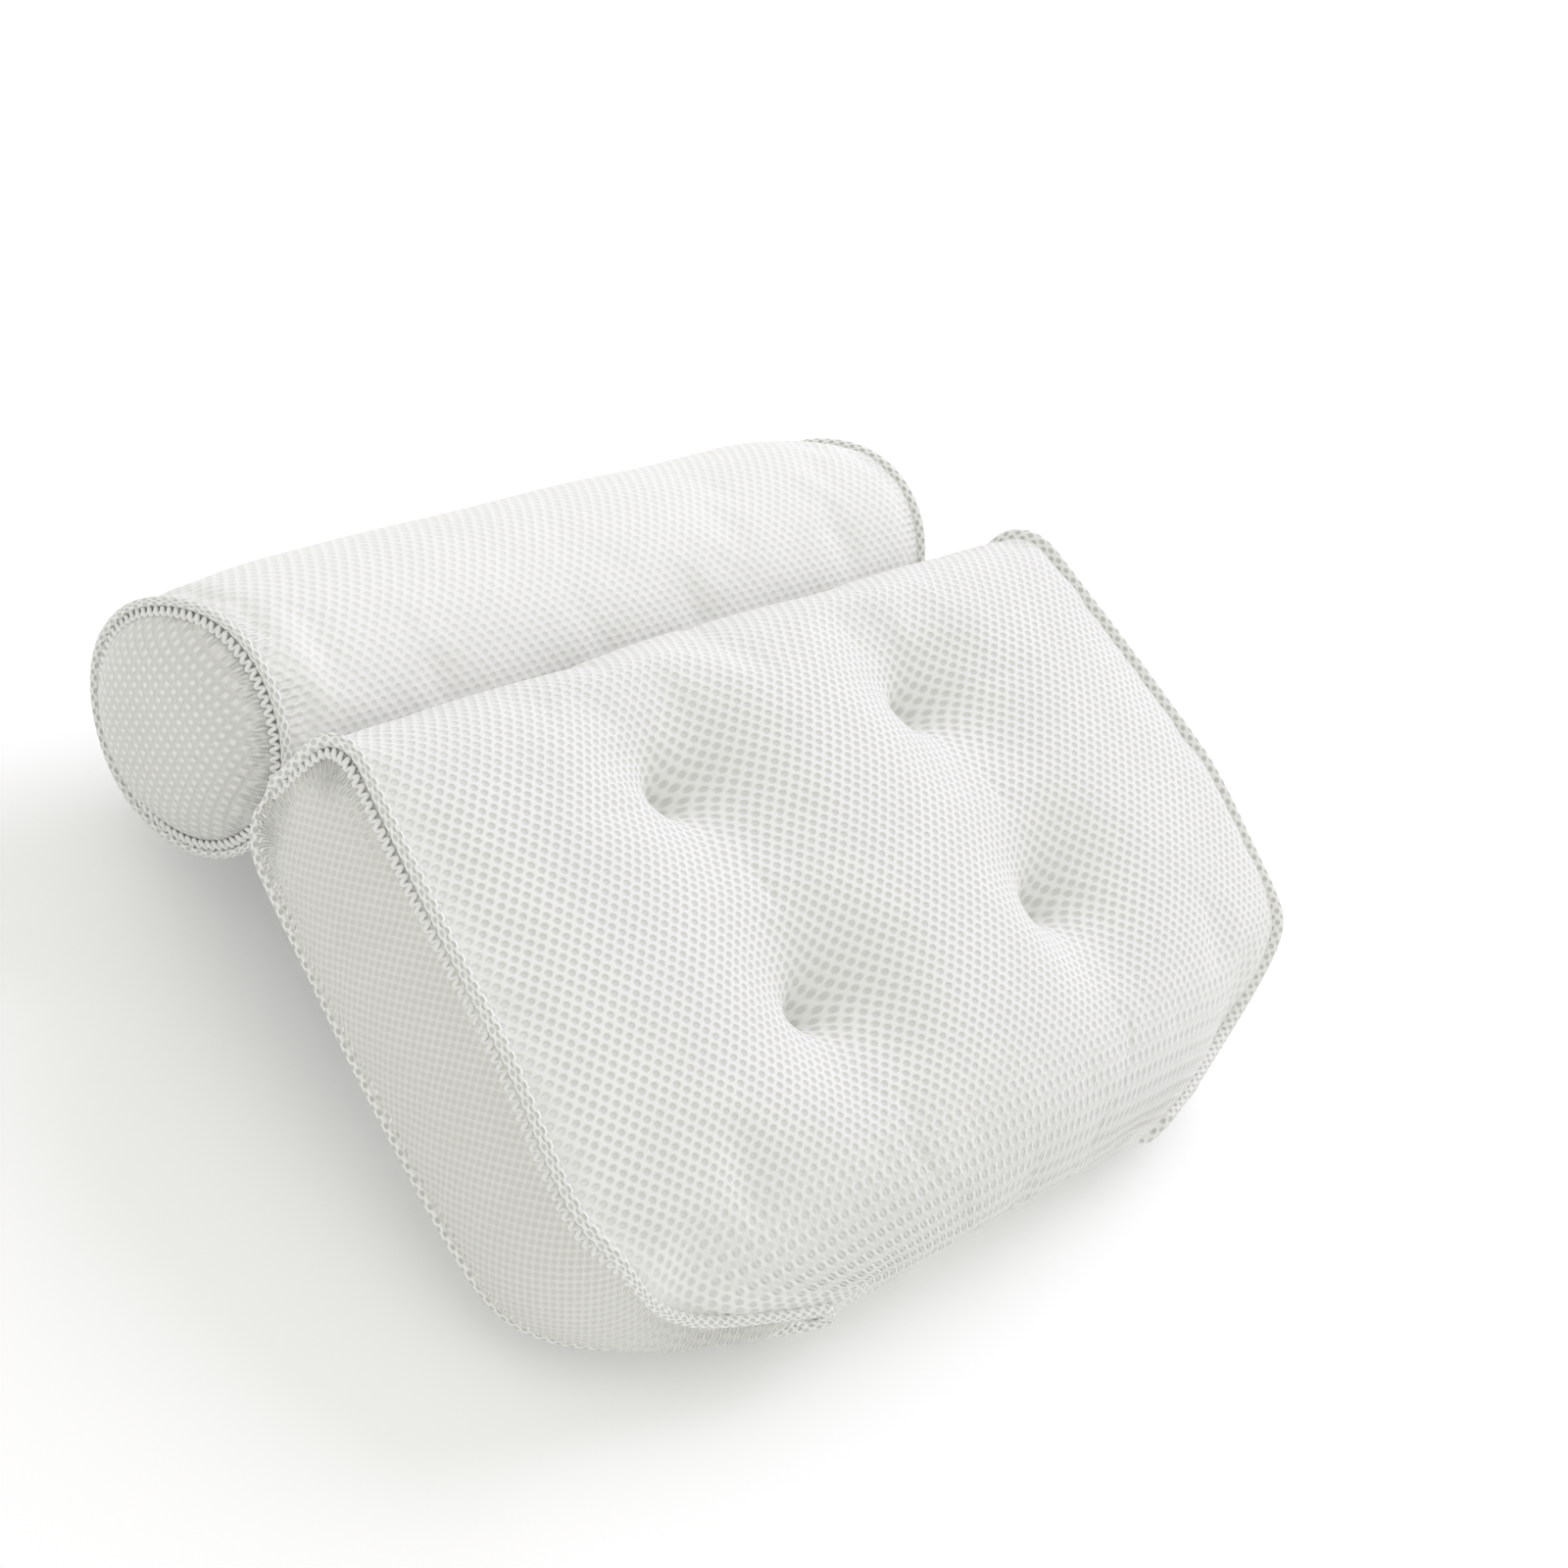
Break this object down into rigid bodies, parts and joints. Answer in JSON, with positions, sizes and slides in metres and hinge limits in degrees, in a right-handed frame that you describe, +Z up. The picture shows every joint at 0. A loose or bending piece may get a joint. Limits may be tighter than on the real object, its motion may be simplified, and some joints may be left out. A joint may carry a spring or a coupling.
{
  "type": "bath pillow",
  "caption": "Tufted mesh bath pillow: a padded head cushion sewn along a fold line to a round neck roll, with swivelling suction cups in its back.",
  "frame": {"origin": "middle of the bottom of the pillow's box, on the surface that its suction cups stand on", "axes": "+X along the neck roll, to the right seen from the foot of the pad; +Y from the foot of the pad to the neck roll; +Z up, the way the face looks"},
  "size_m": [0.3778, 0.2664, 0.0989],
  "materials": {
    "face_mesh": "matt white polyester spacer mesh with staggered small holes",
    "side_mesh": "matt off-white polyester spacer mesh, pulled tight",
    "piping_mesh": "matt white piping covered in spacer mesh",
    "fibre_filling": "soft white polyester fibre",
    "tuft_thread": "matt white polyester thread",
    "cup_vinyl": "clear soft vinyl, glossy",
    "eyelet_plastic": "white moulded plastic, satin"
  },
  "bodies": {
    "pad": {"pad_front_panel": "face_mesh", "pad_back_panel": "face_mesh", "pad_left_side_panel": "side_mesh", "pad_right_side_panel": "side_mesh", "pad_left_piping": "piping_mesh", "pad_right_piping": "piping_mesh", "neck_seam": "piping_mesh", "pad_filling": "fibre_filling", "tuft_tie_top_left": "tuft_thread", "pad_eyelet_top_left": "eyelet_plastic", "tuft_tie_top_right": "tuft_thread", "pad_eyelet_top_right": "eyelet_plastic", "tuft_tie_foot_left": "tuft_thread", "pad_eyelet_foot_left": "eyelet_plastic", "tuft_tie_foot_right": "tuft_thread", "pad_eyelet_foot_right": "eyelet_plastic"},
    "roll": {"roll_cover": "face_mesh", "roll_left_end_panel": "side_mesh", "roll_right_end_panel": "side_mesh", "roll_left_piping": "piping_mesh", "roll_right_piping": "piping_mesh", "roll_filling": "fibre_filling", "roll_eyelet_left": "eyelet_plastic", "roll_eyelet_right": "eyelet_plastic"},
    "top_left_cup": {"pad_cup_top_left": "cup_vinyl"},
    "top_right_cup": {"pad_cup_top_right": "cup_vinyl"},
    "foot_left_cup": {"pad_cup_foot_left": "cup_vinyl"},
    "foot_right_cup": {"pad_cup_foot_right": "cup_vinyl"},
    "roll_left_cup": {"roll_cup_left": "cup_vinyl"},
    "roll_right_cup": {"roll_cup_right": "cup_vinyl"}
  },
  "joints": [
    {"name": "neck_fold", "type": "hinge", "parent": "pad", "child": "roll", "pos_m": [0, 0.05438, 0.05731], "axis": [1, 0, 0], "range_deg": [-30, 30]},
    {"name": "top_left_cup_swivel", "type": "hinge", "parent": "pad", "child": "top_left_cup", "pos_m": [-0.112, 0.00925, 0.02706], "axis": [0, -0.2482, 0.9687], "continuous": true},
    {"name": "top_right_cup_swivel", "type": "hinge", "parent": "pad", "child": "top_right_cup", "pos_m": [0.112, 0.00925, 0.02706], "axis": [0, -0.2482, 0.9687], "continuous": true},
    {"name": "foot_left_cup_swivel", "type": "hinge", "parent": "pad", "child": "foot_left_cup", "pos_m": [-0.112, -0.07599, 0.00521], "axis": [0, -0.2482, 0.9687], "continuous": true},
    {"name": "foot_right_cup_swivel", "type": "hinge", "parent": "pad", "child": "foot_right_cup", "pos_m": [0.112, -0.07599, 0.00521], "axis": [0, -0.2482, 0.9687], "continuous": true},
    {"name": "roll_left_cup_swivel", "type": "hinge", "parent": "roll", "child": "roll_left_cup", "pos_m": [-0.095, 0.0937, 0], "axis": [0, 0, 1], "continuous": true},
    {"name": "roll_right_cup_swivel", "type": "hinge", "parent": "roll", "child": "roll_right_cup", "pos_m": [0.095, 0.0937, 0], "axis": [0, 0, 1], "continuous": true}
  ]
}
